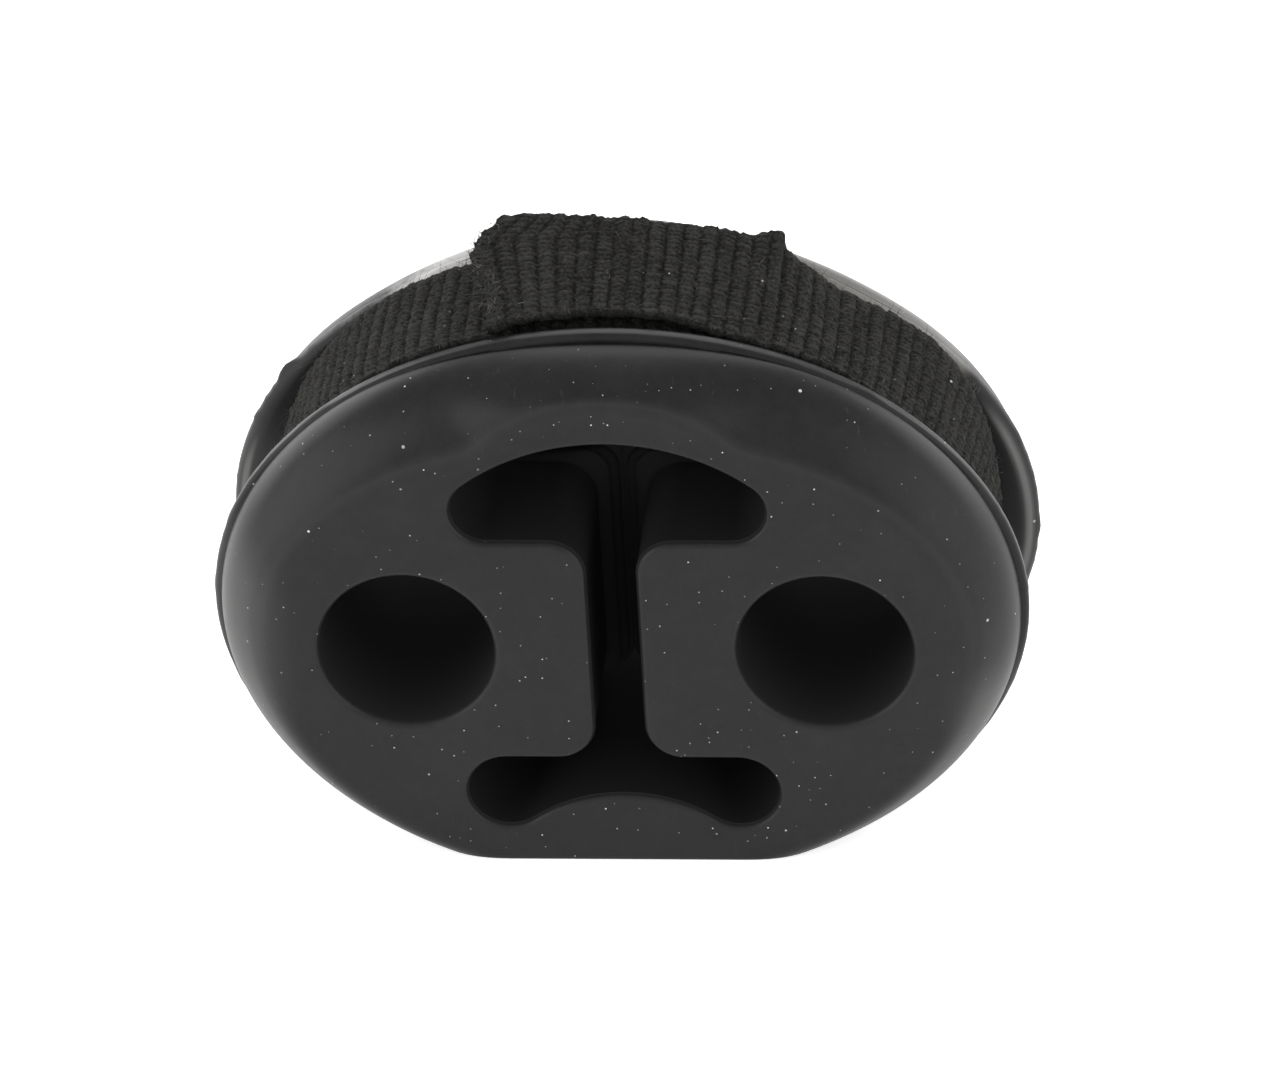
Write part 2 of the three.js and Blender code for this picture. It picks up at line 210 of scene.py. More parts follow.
class HangerStudio(bpy.types.PropertyGroup):
    """Camera and light."""

    lens: FloatProperty(name="Lens", description="Focal length", default=341.8, unit="CAMERA")
    sensor: FloatProperty(name="Sensor", description="Sensor width", default=36.0, unit="CAMERA")
    eye: FloatVectorProperty(
        name="Eye", description="Place of the camera", size=3, subtype="TRANSLATION",
        unit="LENGTH", default=(93.3 * MM, -800.55 * MM, 548.95 * MM),
    )
    floor_size: length("Floor Size", "Side of the square floor", 6.0)
    daylight: number("Daylight", "Strength of the even light", 0.62)
    key_power: number("Key Power", "Watts of the overhead lamp", 3.0)
    left_power: number("Left Power", "Watts of the lamp at the left", 6.0)
    right_power: number("Right Power", "Watts of the lamp at the right", 4.2)
    rear_side_power: number("Rear Side Power", "Watts of each lamp behind the sides", 5.5)
    front_power: number("Front Power", "Watts of the wide lamp in front", 2.6)
    back_power: number("Back Power", "Watts of the lamp behind", 2.0)
    floor_glow: number("Floor Glow", "Glow of the floor in the camera and in reflections", 0.68)


def smoothstep(value, low, high):
    """0 below low, 1 above high and smooth between, for numbers and arrays."""
    share = np.clip((value - low) / (high - low), 0.0, 1.0)
    return share * share * (3.0 - 2.0 * share)


def oval_radius(angle, half_width, half_height, fullness):
    """Radius of an oval in the direction of an angle. A fullness of 2 is an ellipse."""
    across = (abs(math.cos(angle)) / half_width) ** fullness
    along = (abs(math.sin(angle)) / half_height) ** fullness
    return (across + along) ** (-1.0 / fullness)


class BodyShape:
    """Outlines of the rubber body, worked out from its sizes."""

    LIP_FULLNESS = 2.0
    SHOULDER_FULLNESS = 2.15
    CORE_TOP_FULLNESS = 2.4
    CORE_FOOT_FULLNESS = 3.4
    BEVEL_CROWN = 2.0
    BEVEL_CROWN_CHANGE = 0.4
    SHOULDER_LOSS = 0.75
    LEAST_BEAD = 0.35 * MM
    BEAD_GROWTH = 0.38
    BARE_LIP = 1.2 * MM
    PAD_MARGIN = 0.1 * MM
    LIP_SET = 0.04 * MM
    WALL_LEAN = 0.05 * MM
    MOUTH_REACH = 1.7

    def __init__(self, sizes):
        self.sizes = sizes
        self.half_depth = sizes.body_depth / 2
        self.centre = sizes.hole_height + sizes.centre_rise
        self.lip_half_height = sizes.body_height - self.centre
        self.island_half = sizes.island_height / 2
        self.arch_top = self.island_half + sizes.upper_height
        self.slot_floor = self.island_half + 2 * sizes.lower_end
        self.core_half_width = sizes.hole_spacing / 2 + sizes.hole_diameter / 2 + sizes.boss_wall
        self.core_top = self.arch_top + sizes.crown_wall - sizes.centre_rise
        self.core_foot = self.slot_floor + sizes.slot_floor_wall + sizes.centre_rise

    def lip(self, angle):
        """Outline of both lips."""
        half_width = self.sizes.lip_half_width
        return oval_radius(angle, half_width, self.lip_half_height, self.LIP_FULLNESS)

    def core(self, angle):
        """Floor of the belt's groove."""
        if math.sin(angle) > 0:
            return oval_radius(angle, self.core_half_width, self.core_top, self.CORE_TOP_FULLNESS)
        return oval_radius(angle, self.core_half_width, self.core_foot, self.CORE_FOOT_FULLNESS)

    def proud(self, angle):
        """Step from the bevel up to the lip, lower at the shoulders than on top and beside."""
        return self.sizes.lip_proud * (1 - self.shoulder_share(angle))

    def shoulder_share(self, angle):
        """Share of the lip's step and crease that is lost at the shoulders."""
        return self.SHOULDER_LOSS * math.sin(2 * angle) ** 2

    def bead(self, angle):
        """Fall of the lip's rounding into the groove, more where the lip stands proud."""
        bare = self.lip(angle) - self.core(angle) - self.sizes.groove_fillet
        return self.LEAST_BEAD + self.BEAD_GROWTH * max(bare - self.BARE_LIP, 0.0)

    def dome(self, angle):
        """Far side of the dome's ellipse along a ray, or 0 where the ray misses it."""
        height = self.sizes.dome_height
        base = self.lip_half_height - self.sizes.dome_inset - height
        across = math.cos(angle) / (self.sizes.dome_width / 2)
        along = math.sin(angle) / height
        rise = base / height
        spread = across * across + along * along
        discriminant = along * along * rise * rise - spread * (rise * rise - 1)
        if discriminant < 0:
            return 0.0
        return (along * rise + math.sqrt(discriminant)) / spread

    def pad(self, angle):
        """Outline of the face pad, with its dome blended in on top."""
        sizes = self.sizes
        half_width = sizes.lip_half_width - sizes.pad_side_inset
        if math.sin(angle) <= 0:
            half_height = self.lip_half_height - sizes.pad_foot_inset
            return oval_radius(angle, half_width, half_height, self.LIP_FULLNESS)
        half_height = self.lip_half_height - sizes.pad_shoulder_inset
        shoulder = oval_radius(angle, half_width, half_height, self.SHOULDER_FULLNESS)
        dome = self.dome(angle)
        blend = math.log(1 + math.exp(-abs(shoulder - dome) / sizes.dome_blend))
        return max(shoulder, dome) + sizes.dome_blend * blend

    def bevel(self, angle, depth):
        """Crowned bevel from the pad at the face to the crease at the lip."""
        power = self.BEVEL_CROWN + self.BEVEL_CROWN_CHANGE * math.sin(angle)
        share = 1 - (1 - depth / self.sizes.bevel_depth) ** power
        pad = self.pad(angle)
        return pad + (self.lip(angle) - self.proud(angle) - pad) * share

    def flange_stations(self):
        """Depth from the face and radius by angle, from the pad's flat to the mid-plane."""
        sizes = self.sizes
        edge = sizes.pad_edge
        corner = sizes.lip_corner
        fillet = sizes.groove_fillet
        crease_depth = sizes.bevel_depth
        groove_wall = sizes.bevel_depth + sizes.lip_thickness
        stations = [(0.0, lambda a: self.bevel(a, 0) - edge - self.PAD_MARGIN)]
        for step in range(6):
            share = step / 6
            depth = edge * share * share
            inset = edge * (1 - share) ** 2
            stations.append((depth, lambda a, d=depth, i=inset: self.bevel(a, d) - i))
        for step in range(14):
            share = step / 13
            depth = edge + (crease_depth - sizes.crease - edge) * share
            stations.append((depth, lambda a, d=depth: self.bevel(a, d)))
        stations.append((crease_depth, lambda a: (
            self.lip(a) - self.proud(a) - sizes.crease * (1 - self.shoulder_share(a))
        )))
        for step in range(7):
            turn = math.pi / 2 * step / 6
            depth = crease_depth + corner * (1 - math.cos(turn)) + self.LIP_SET
            drop = corner * (1 - math.sin(turn))
            stations.append((depth, lambda a, i=drop: self.lip(a) - i))
        for step in range(10):
            turn = math.pi / 2 * step / 9
            depth = groove_wall - sizes.lip_bead * (1 - math.sin(turn))
            drop = 1 - math.cos(turn)
            stations.append((depth, lambda a, i=drop: self.lip(a) - i * self.bead(a)))
        for share in (0.8, 0.55, 0.3):
            stations.append((groove_wall + self.WALL_LEAN * (1 - share), lambda a, s=share: (
                (self.core(a) + fillet) * (1 - s) + (self.lip(a) - self.bead(a)) * s
            )))
        for step in range(6):
            turn = math.pi / 2 * step / 5
            depth = groove_wall + fillet * (1 - math.cos(turn))
            rise = fillet * (1 - math.sin(turn))
            stations.append((depth, lambda a, r=rise: self.core(a) + r))
        stations.append((self.half_depth, self.core))
        return stations

    def flange_rings(self):
        """Points of each ring of the outside, from the pad's flat to the mid-plane."""
        total = self.sizes.outline_points
        angles = [2 * math.pi * i / total for i in range(total)]
        rings = []
        for depth, radius in self.flange_stations():
            ring = []
            for angle in angles:
                reach = radius(angle)
                x = reach * math.cos(angle)
                z = self.centre + reach * math.sin(angle)
                ring.append(Vector((x, depth - self.half_depth, z)))
            rings.append(ring)
        return rings

    def hole_rings(self, x):
        """Points of each ring of a pin hole, from the pad's flat to the mid-plane."""
        sizes = self.sizes
        radius = sizes.hole_diameter / 2
        mouth = sizes.hole_mouth
        profile = [(0.0, radius + self.MOUTH_REACH * mouth)]
        for step in range(7):
            turn = math.pi / 2 * step / 6
            profile.append((mouth * (1 - math.cos(turn)), radius + mouth * (1 - math.sin(turn))))
        profile += [(self.half_depth * share, radius) for share in (0.2, 0.5, 1.0)]
        rings = []
        for depth, reach in profile:
            ring = []
            for i in range(sizes.hole_points):
                angle = 2 * math.pi * i / sizes.hole_points
                z = sizes.hole_height + reach * math.sin(angle)
                ring.append(Vector((x + reach * math.cos(angle), depth - self.half_depth, z)))
            rings.append(ring)
        return rings

    def void_outline(self, web_half, grow, foot_fillet, fillet, reach):
        """Outline of the void about the line of the holes, with every edge moved out by grow.

        The web slot's walls end in a foot_fillet below and a fillet above, where they reach up
        past the islands by reach.
        """
        sizes = self.sizes
        quarter = math.pi / 2
        lower_x = sizes.void_width / 2 - sizes.lower_end
        lower_z = -self.island_half - sizes.lower_end
        upper_x = sizes.void_width / 2 - sizes.upper_end
        upper_z = self.island_half + sizes.upper_end
        foot_x = web_half + foot_fillet
        foot_z = foot_fillet - self.island_half
        fillet_x = web_half + fillet
        fillet_z = self.island_half - fillet + reach

        lower_end = sizes.lower_end
        bulge_top = sizes.foot_bulge - self.slot_floor
        sink = lower_z - bulge_top
        bulge_radius = (lower_x ** 2 + sink ** 2 - lower_end ** 2) / (2 * (lower_end - sink))
        bulge_z = bulge_top - bulge_radius
        bulge_turn = math.atan2(lower_z - bulge_z, lower_x)

        upper_end = sizes.upper_end
        climb = self.arch_top - upper_z
        arch_radius = (upper_x ** 2 + climb ** 2 - upper_end ** 2) / (2 * (climb - upper_end))
        arch_z = self.arch_top - arch_radius
        arch_turn = math.atan2(upper_z - arch_z, upper_x)

        right = (
            arc(0, bulge_z, bulge_radius - grow, quarter, bulge_turn, 24)[:-1]
            + arc(lower_x, lower_z, lower_end + grow, bulge_turn - math.pi, quarter, 32)
            + arc(foot_x, foot_z, foot_fillet - grow, -quarter, -math.pi, 14)
            + arc(fillet_x, fillet_z, fillet - grow, math.pi, quarter, 14)
            + arc(upper_x, upper_z, upper_end + grow, -quarter, arch_turn, 28)[:-1]
            + arc(0, arch_z, arch_radius + grow, arch_turn, quarter, 28)
        )
        left = [(-x, z) for x, z in reversed(right[1:-1])]
        return right + left

    def void_rings(self):
        """Points of each ring of the void, from the pad's flat to the mid-plane."""
        sizes = self.sizes
        mouth = sizes.void_mouth
        wall = sizes.web_gap / 2
        corner = sizes.web_fillet
        open_end = (corner, corner, 0.0)
        stations = [(0.0, wall, self.MOUTH_REACH * mouth, open_end)]
        for step in range(6):
            turn = math.pi / 2 * step / 5
            depth = mouth * (1 - math.cos(turn))
            stations.append((depth, wall, mouth * (1 - math.sin(turn)), open_end))
        base = self.half_depth - sizes.ridge_depth / 2
        stations += [
            (mouth * 1.2, wall, -sizes.mouth_rim, open_end),
            (mouth * 1.45, wall, 0.0, open_end),
            (base * 0.5, wall, 0.0, open_end),
            (base - 0.3 * sizes.ridge_round, wall, 0.0, open_end),
        ]
        halves = (wall, sizes.ridge_step_gap / 2, sizes.crest_gap / 2, sizes.membrane_gap / 2)
        flare = sizes.ridge_fillet
        ridge_end = (flare, flare, sizes.ridge_reach)
        skin_end = (flare, sizes.membrane_fillet, sizes.ridge_reach + sizes.membrane_reach)
        ends = (open_end, ridge_end, ridge_end, skin_end)
        skin = self.half_depth - sizes.membrane / 2
        depths = (base, (base + skin) / 2, skin)
        runs = (sizes.ridge_round, sizes.ridge_round, 0.3 * sizes.ridge_round)
        for tread, (depth, run) in enumerate(zip(depths, runs)):
            for share, place in ((0.04, 0.0), (0.5, 0.45), (0.96, 0.9), (1.0, 1.0)):
                half = halves[tread] + (halves[tread + 1] - halves[tread]) * share
                end = [a + (b - a) * share for a, b in zip(ends[tread], ends[tread + 1])]
                stations.append((depth + place * run, half, 0.0, end))
        stations.append((self.half_depth, halves[3], 0.0, ends[3]))
        rings = []
        for depth, half, grow, end in stations:
            outline = self.void_outline(half, grow, *end)
            y = depth - self.half_depth
            rings.append([Vector((x, y, sizes.hole_height + z)) for x, z in outline])
        return rings


def arc(x, z, radius, start, end, steps):
    """Points of an arc in the plane of the outlines."""
    turns = [start + (end - start) * i / steps for i in range(steps + 1)]
    return [(x + radius * math.cos(turn), z + radius * math.sin(turn)) for turn in turns]


def clear_selection():
    """Leaves edit mode, with nothing selected."""
    if bpy.context.object and bpy.context.object.mode != "OBJECT":
        bpy.ops.object.mode_set(mode="OBJECT")
    bpy.ops.object.select_all(action="DESELECT")


def edit_whole():
    """Enters edit mode on the active object, with everything selected."""
    bpy.ops.object.mode_set(mode="EDIT")
    bpy.ops.mesh.select_all(action="SELECT")


def points_of(item):
    """Places of an object's points, as the rows of an array."""
    return np.array([vert.co for vert in item.data.vertices])


def place_ring(skin, points):
    """Moves the selected ring of an object in edit mode to its points."""
    mesh = bmesh.from_edit_mesh(skin.data)
    order = mesh.verts.layers.int["order"]
    for vert in mesh.verts:
        if vert.select:
            vert.co = points[vert[order]]
    bmesh.update_edit_mesh(skin.data)


def extruded_skin(name, rings):
    """A circle shaped to the first ring and extruded through the others."""
    clear_selection()
    bpy.ops.mesh.primitive_circle_add(vertices=len(rings[0]), radius=rings[0][0].length)
    skin = bpy.context.object
    skin.name = name
    edit_whole()
    mesh = bmesh.from_edit_mesh(skin.data)
    order = mesh.verts.layers.int.new("order")
    mesh.verts.ensure_lookup_table()
    for vert in mesh.verts:
        vert[order] = vert.index
    place_ring(skin, rings[0])
    for before, ring in zip(rings, rings[1:]):
        step = ring[0].y - before[0].y
        bpy.ops.mesh.extrude_region_move(TRANSFORM_OT_translate={"value": (0, step, 0)})
        place_ring(skin, ring)
    bpy.ops.object.mode_set(mode="OBJECT")
    return skin


def mark(item, name, values):
    """Gives each point of an object a value that its material reads by name."""
    marks = item.data.attributes.new(name, "FLOAT", "POINT")
    marks.data.foreach_set("value", values)


def mark_shaded(skin, shape, start, strength):
    """Marks the points past a depth, which lie in an opening or the groove, where the material
    paints shade.
    """
    depths = points_of(skin)[:, 1] + shape.half_depth
    mark(skin, "inside", strength * smoothstep(depths, start, start + 0.5 * MM))


def mark_edge_highlight(skin, shape):
    """Marks a painted highlight along the rounding where the pad turns into the bevel, on the upper
    half.
    """
    place, spread = 0.22 * MM, 0.18 * MM
    points = points_of(skin)
    pad_edge_highlight = np.exp(-(((points[:, 1] + shape.half_depth) - place) / spread) ** 2)
    pad_edge_highlight *= smoothstep(points[:, 2], 14 * MM, 24 * MM)
    mark(skin, "pad_edge_highlight", pad_edge_highlight)


def mark_lip_highlight(skin, shape):
    """Marks a painted highlight line on the groove side of each lip, low at both sides."""
    place, spread, lift = 0.75 * MM, 0.3 * MM, math.radians(3)
    points = points_of(skin)
    angles = np.arctan2(points[:, 2] - shape.centre, points[:, 0])
    drop = np.array([shape.lip(angle) for angle in angles])
    drop -= np.hypot(points[:, 0], points[:, 2] - shape.centre)
    crest = shape.sizes.bevel_depth + shape.sizes.lip_corner + 0.1 * MM
    behind = points[:, 1] + shape.half_depth > crest
    tilt = np.abs(np.arcsin(np.sin(angles - lift)))
    painted_lip_highlight = behind * np.exp(-(((drop - place) / spread) ** 2))
    painted_lip_highlight *= 1 - smoothstep(tilt, math.radians(10), math.radians(20))
    mark(skin, "painted_lip_highlight", painted_lip_highlight)


def join(pieces, name):
    """One object from several."""
    clear_selection()
    for piece in pieces:
        piece.select_set(True)
    bpy.context.view_layer.objects.active = pieces[0]
    bpy.ops.object.join()
    whole = bpy.context.object
    whole.name = name
    whole.data.name = name
    return whole


def select_points(item, wanted):
    """Selects, in edit mode, the points that wanted says, and the edges between them."""
    bpy.ops.mesh.select_mode(type="VERT")
    bpy.ops.mesh.select_all(action="DESELECT")
    mesh = bmesh.from_edit_mesh(item.data)
    for vert in mesh.verts:
        vert.select_set(wanted(vert))
    mesh.select_flush(True)
    bmesh.update_edit_mesh(item.data)


def fill_pad(body, shape):
    """Closes the pad's flat between its outline, the holes and the void."""
    bpy.ops.object.mode_set(mode="EDIT")
    face = -shape.half_depth
    select_points(body, lambda vert: vert.is_boundary and abs(vert.co.y - face) < 1e-7)
    bpy.ops.mesh.fill(use_beauty=True)
    bpy.ops.object.mode_set(mode="OBJECT")


def mirror_rear(body):
    """Adds the rear half as the mirror image of the front one."""
    mirror = body.modifiers.new("rear half", "MIRROR")
    mirror.use_axis = (False, True, False)
    mirror.use_clip = True
    mirror.merge_threshold = 1e-6
    bpy.ops.object.modifier_apply(modifier=mirror.name)


def cut_foot(body, shape):
    """Cuts the flat foot and rounds its edges."""
    edge = shape.sizes.foot_edge
    levels = [edge * (1 - math.cos(math.pi / 2 * i / 5)) for i in range(1, 6)]
    close = 0.002 * MM
    bpy.ops.object.mode_set(mode="EDIT")
    for level in reversed(levels):
        bpy.ops.mesh.select_all(action="SELECT")
        bpy.ops.mesh.bisect(plane_co=(0, 0, level), plane_no=(0, 0, 1), threshold=close)
    bpy.ops.mesh.select_all(action="SELECT")
    bpy.ops.mesh.bisect(
        plane_co=(0, 0, 0), plane_no=(0, 0, 1), threshold=close, clear_inner=True,
    )
    mesh = bmesh.from_edit_mesh(body.data)
    mesh.normal_update()
    moves = []
    for vert in mesh.verts:
        side = Vector((vert.normal.x, vert.normal.y, 0.0))
        if vert.co.z < edge and side.length > 0:
            below = edge - vert.co.z
            inset = edge - math.sqrt(max(edge * edge - below * below, 0.0))
            moves.append((vert, -inset * side.normalized()))
    for vert, move in moves:
        vert.co += move
    select_points(body, lambda vert: vert.is_boundary and vert.co.z < 2 * close)
    bpy.ops.mesh.fill_holes(sides=0)
    bpy.ops.mesh.quads_convert_to_tris()
    bpy.ops.object.mode_set(mode="OBJECT")


def raise_flash(body, shape):
    """Lifts ragged lumps of flash on both lips' crests, fewer on top and none at the foot."""
    sizes = shape.sizes
    groove = shape.half_depth - sizes.bevel_depth - sizes.lip_thickness
    reach = 0.35 * MM
    crest = 0.3 * MM
    foot = 1 * MM
    top_half_width = 14 * MM
    for vert in body.data.vertices:
        x, y, z = vert.co.x, vert.co.y, vert.co.z - shape.centre
        radius = math.hypot(x, z)
        angle = math.atan2(z, x)
        behind = (abs(y) - groove - sizes.lip_bead) / reach
        if abs(behind) > 3 or shape.lip(angle) - radius > crest or vert.co.z < foot:
            continue
        place = Vector((x, 0, z)) / sizes.flash_pitch + Vector((0, 7 * (y > 0), 0))
        fine = Vector((x, 0, z)) / (sizes.flash_pitch * 0.3) + Vector((0, 3 * (y > 0), 0))
        lump = max(0.0, noise.noise(place) - 0.12) + 0.35 * max(0.0, noise.noise(fine) - 0.1)
        beside = 1.0 if z < 0 else 1.0 - 0.8 * math.exp(-(x / top_half_width) ** 2)
        side = sizes.front_flash
        if y > 0:
            side = 1.0 - (1.0 - sizes.right_flash) * float(smoothstep(x, 0.0, 10 * MM))
        rise = sizes.flash_height * lump * beside * side * math.exp(-behind * behind)
        vert.co.x += rise * x / radius
        vert.co.z += rise * z / radius


def sag_rear_lip(body, shape):
    """Lowers the rear lip and the rim of its bevel at the shoulders and the sides."""
    points = points_of(body)
    x, y, z = points[:, 0], points[:, 1], points[:, 2]
    lip = np.array([shape.lip(angle) for angle in np.arctan2(z - shape.centre, x)])
    rear = smoothstep(y, 4 * MM, 5.5 * MM)
    rim = 1 - smoothstep(lip - np.hypot(x, z - shape.centre), 0.6 * MM, 3.4 * MM)
    beside = smoothstep(np.abs(x), 8 * MM, 22 * MM)
    above_foot = smoothstep(z, 5 * MM, 15 * MM)
    points[:, 2] -= shape.sizes.rear_sag * (rear * rim * beside * above_foot)
    body.data.vertices.foreach_set("co", points.ravel())


def rubber_body(sizes):
    """The moulded rubber body as one closed mesh."""
    shape = BodyShape(sizes)
    half_spacing = sizes.hole_spacing / 2
    outside = extruded_skin("outside", shape.flange_rings())
    openings = [
        extruded_skin("left_hole", shape.hole_rings(-half_spacing)),
        extruded_skin("right_hole", shape.hole_rings(half_spacing)),
        extruded_skin("void", shape.void_rings()),
    ]
    # Painted shade in the groove behind the lips.
    mark_shaded(outside, shape, sizes.bevel_depth + sizes.lip_thickness - 0.5 * MM, 0.25)
    mark_edge_highlight(outside, shape)
    mark_lip_highlight(outside, shape)
    # Painted shade inside the holes and the void.
    for opening in openings:
        mark_shaded(opening, shape, 0.2 * sizes.void_mouth, 1.0)
    body = join([outside] + openings, "rubber_moulding")
    fill_pad(body, shape)
    mirror_rear(body)
    cut_foot(body, shape)
    raise_flash(body, shape)
    sag_rear_lip(body, shape)
    edit_whole()
    bpy.ops.mesh.remove_doubles(threshold=1e-6)
    bpy.ops.mesh.normals_make_consistent(inside=False)
    bpy.ops.object.mode_set(mode="OBJECT")
    bpy.ops.object.shade_smooth_by_angle(angle=math.radians(55))
    return body


class BeltRun:
    """The belt's way round the groove, by distance from the middle of the top."""

    FINE = 4000

    def __init__(self, shape, reach):
        angles = np.linspace(-math.pi / 2, 3 * math.pi / 2, self.FINE + 1)
        radii = np.array([shape.core(angle) for angle in angles])
        floor = np.stack([radii * np.cos(angles), radii * np.sin(angles)], axis=1)
        along = np.gradient(floor, axis=0)
        along /= np.linalg.norm(along, axis=1)[:, None]
        self.out = np.stack([along[:, 1], -along[:, 0]], axis=1)
        self.floor = floor + np.array([0.0, shape.centre])
        crown = floor + self.out * reach
        steps = np.linalg.norm(np.diff(crown, axis=0), axis=1)
        self.lengths = np.concatenate([[0.0], np.cumsum(steps)])
        self.total = float(self.lengths[-1])

    def at(self, travel):
        """Floor points and outward directions for an array of distances, right of the top."""
        place = np.mod(self.total / 2 - travel, self.total)
        floor = [np.interp(place, self.lengths, self.floor[:, i]) for i in range(2)]
        out = [np.interp(place, self.lengths, self.out[:, i]) for i in range(2)]
        return floor, out


class BeltShape:
    """The belt as a strip that is wound once round the body and laps over its inner end."""

    UNDER_COLUMNS = 6
    EDGE_BULGE = 0.14 * MM

    def __init__(self, sizes, body_shape):
        self.sizes = sizes
        self.run = BeltRun(body_shape, sizes.fit + sizes.thickness)
        self.random = np.random.default_rng(sizes.seed)
        self.length = self.run.total + sizes.lap_end + sizes.lap_start
        self.ribs = round(self.length / sizes.rib_pitch)
        self.threads = round(2 * sizes.half_width / sizes.thread_pitch)
        self.rows = self.ribs * sizes.rib_rows
        self.outer_columns = self.threads * sizes.thread_columns

    def weave(self, row, column):
        """Height of the threads' crowns, from 0 in the furrows to about 1."""
        sizes = self.sizes
        rib = np.minimum(row // sizes.rib_rows, self.ribs - 1)
        lobe = np.sin(np.pi * (row % sizes.rib_rows) / sizes.rib_rows) ** 0.5
        shift = 0.5 * (rib % 2)
        turn = column / sizes.thread_columns + shift
        thread = np.floor(turn).astype(int)
        crown = np.abs(np.sin(np.pi * turn)) ** 0.8
        size = self.random.uniform(0.5, 1.3, (self.ribs, self.threads + 2))[rib, thread]
        rib_size = self.random.uniform(0.75, 1.15, self.ribs)[rib]
        fuzz = self.random.uniform(-0.3, 0.3, row.shape)
        return lobe * rib_size * (0.25 + 0.75 * crown * size) + fuzz

    def drift(self, row, scale, salt):
        """Slow random drift along the belt, between -1 and 1."""
        knots = self.random.uniform(-1, 1, int(self.rows / scale) + 3)
        place = row / scale + salt
        low = np.clip(place.astype(int), 0, len(knots) - 2)
        share = smoothstep(place - low, 0.0, 1.0)
        return knots[low] * (1 - share) + knots[low + 1] * share

    def lap_share(self, travelled):
        """0 on the inner turn and 1 where the strip has climbed onto it."""
        return smoothstep(travelled, self.run.total - self.sizes.lap_fade, self.run.total)

    def rise(self, travelled, across):
        """How far the strip is raised off the groove by its own inner end."""
        sizes = self.sizes
        share = self.lap_share(travelled)
        place = sizes.lap_end - travelled + self.run.total
        front = sizes.lap_front_rise * (1 - 0.85 * smoothstep(place, 3 * MM, 9 * MM))
        level = front * (1 - across) + sizes.lap_rear_rise * across
        past = travelled - self.run.total
        after = np.clip(past / (self.length - self.run.total), 0, 1)
        lift = sizes.lap_lift * after ** 1.6 * across
        beyond = past / sizes.nub_radius
        beside = (1 - across) * 2 * sizes.half_width / sizes.nub_radius
        nub = sizes.nub_height * np.exp(-beyond ** 2 - beside ** 2)
        side = smoothstep(place, 18 * MM, 30 * MM) * (1 - smoothstep(place, 42 * MM, 55 * MM))
        step = 0.28 * level * (travelled > self.run.total - 0.6 * MM)
        return 0.72 * share * level + step + lift + nub + sizes.side_rise * side * across

    def section(self):
        """Positions of the strip's grid, as rows along it and columns round its section."""
        sizes = self.sizes
        rows = np.arange(self.rows + 1)
        outer = np.arange(self.outer_columns + 1)
        row, column = np.meshgrid(rows, outer, indexing="ij")
        across = column / self.outer_columns
        travelled = row / self.rows * self.length
        near_end = smoothstep(travelled, self.length - 9 * MM, self.length)
        slant = sizes.lap_slant * across - sizes.lap_corner * smoothstep(across, 0.72, 1.0)
        slant = slant * near_end
        end_row = smoothstep(row, self.rows - 4, self.rows)
        fringe = self.random.uniform(-0.4, 1.0, self.outer_columns + 1)
        fringe = np.convolve(fringe, [0.2, 0.3, 0.3, 0.2], mode="same")
        ragged = fringe[column] * MM * end_row
        lap = self.lap_share(travelled)
        rib = np.minimum(row // sizes.rib_rows, self.ribs - 1)
        fray_front = self.random.uniform(-0.25, 0.2, self.ribs)[rib] * MM
        fray_rear = self.random.uniform(-0.2, 0.25, self.ribs)[rib] * MM
        lobe = np.sin(np.pi * (row % sizes.rib_rows) / sizes.rib_rows)
        middle = sizes.lap_end - travelled + self.run.total
        gap = np.clip(1 - ((middle - 0.3 * MM) / sizes.lap_gap_reach) ** 2, 0, 1) ** 0.8
        set_back = sizes.lap_set_back * gap * (travelled > self.length / 2)
        front = -sizes.half_width + set_back + (fray_front - 0.1 * MM) * lobe + 0.2 * MM
        tufts = self.random.uniform(-0.2, 0.14, (2, self.rows + 1)) * MM
        front = front - 0.5 * tufts[0][row]
        rear = sizes.half_width + (fray_rear + 0.1 * MM) * lobe - 0.2 * MM + tufts[1][row]
        sway = 0.1 * MM * self.drift(row, 40, 0.0) * (1 - abs(2 * across - 1))
        y = front + (rear - front) * across + sway
        travel = sizes.lap_end - travelled - slant - ragged
        travel = travel + 0.12 * MM * self.drift(row, 26, 0.3) * np.sin(np.pi * across * 1.5)
        seam = np.exp(-((travel - sizes.seam_place) / (0.22 * MM)) ** 2) * (row > self.rows / 2)
        covered = sizes.lap_end + sizes.lap_start
        under_lap = 1 - smoothstep(travelled, covered - 2 * MM, covered + 1 * MM)
        sunk = sizes.lap_sink * under_lap * (1 - smoothstep(across, 0.1, 0.45))
        hem = smoothstep(abs(2 * across - 1), 0.82, 1.0)
        weave = self.weave(row, column)
        # Crown heights for the colour, with painted shade in the open rib and painted shadow under
        # the lap.
        self.crowns_and_shade = weave * (1 - 0.3 * seam) * (1 - 0.6 * under_lap)
        height = (
            sizes.fit + sizes.thickness - sizes.rib_height + self.rise(travelled, across)
            + sizes.rib_height * (weave * (1 - 0.85 * hem) + 0.35 * hem)
            + 0.08 * MM * self.drift(row, 33, 0.6)
            - seam * sizes.seam_depth - sunk - 0.1 * MM * hem
        )
        thick = sizes.thickness - sizes.rib_height - 0.25 * MM
        thick = thick + (sizes.lap_thickness - sizes.rib_height - thick) * lap[:, :1]
        thick = thick - 0.35 * MM * under_lap[:, :1]
        return self.closed_section(travel, y, height, thick)

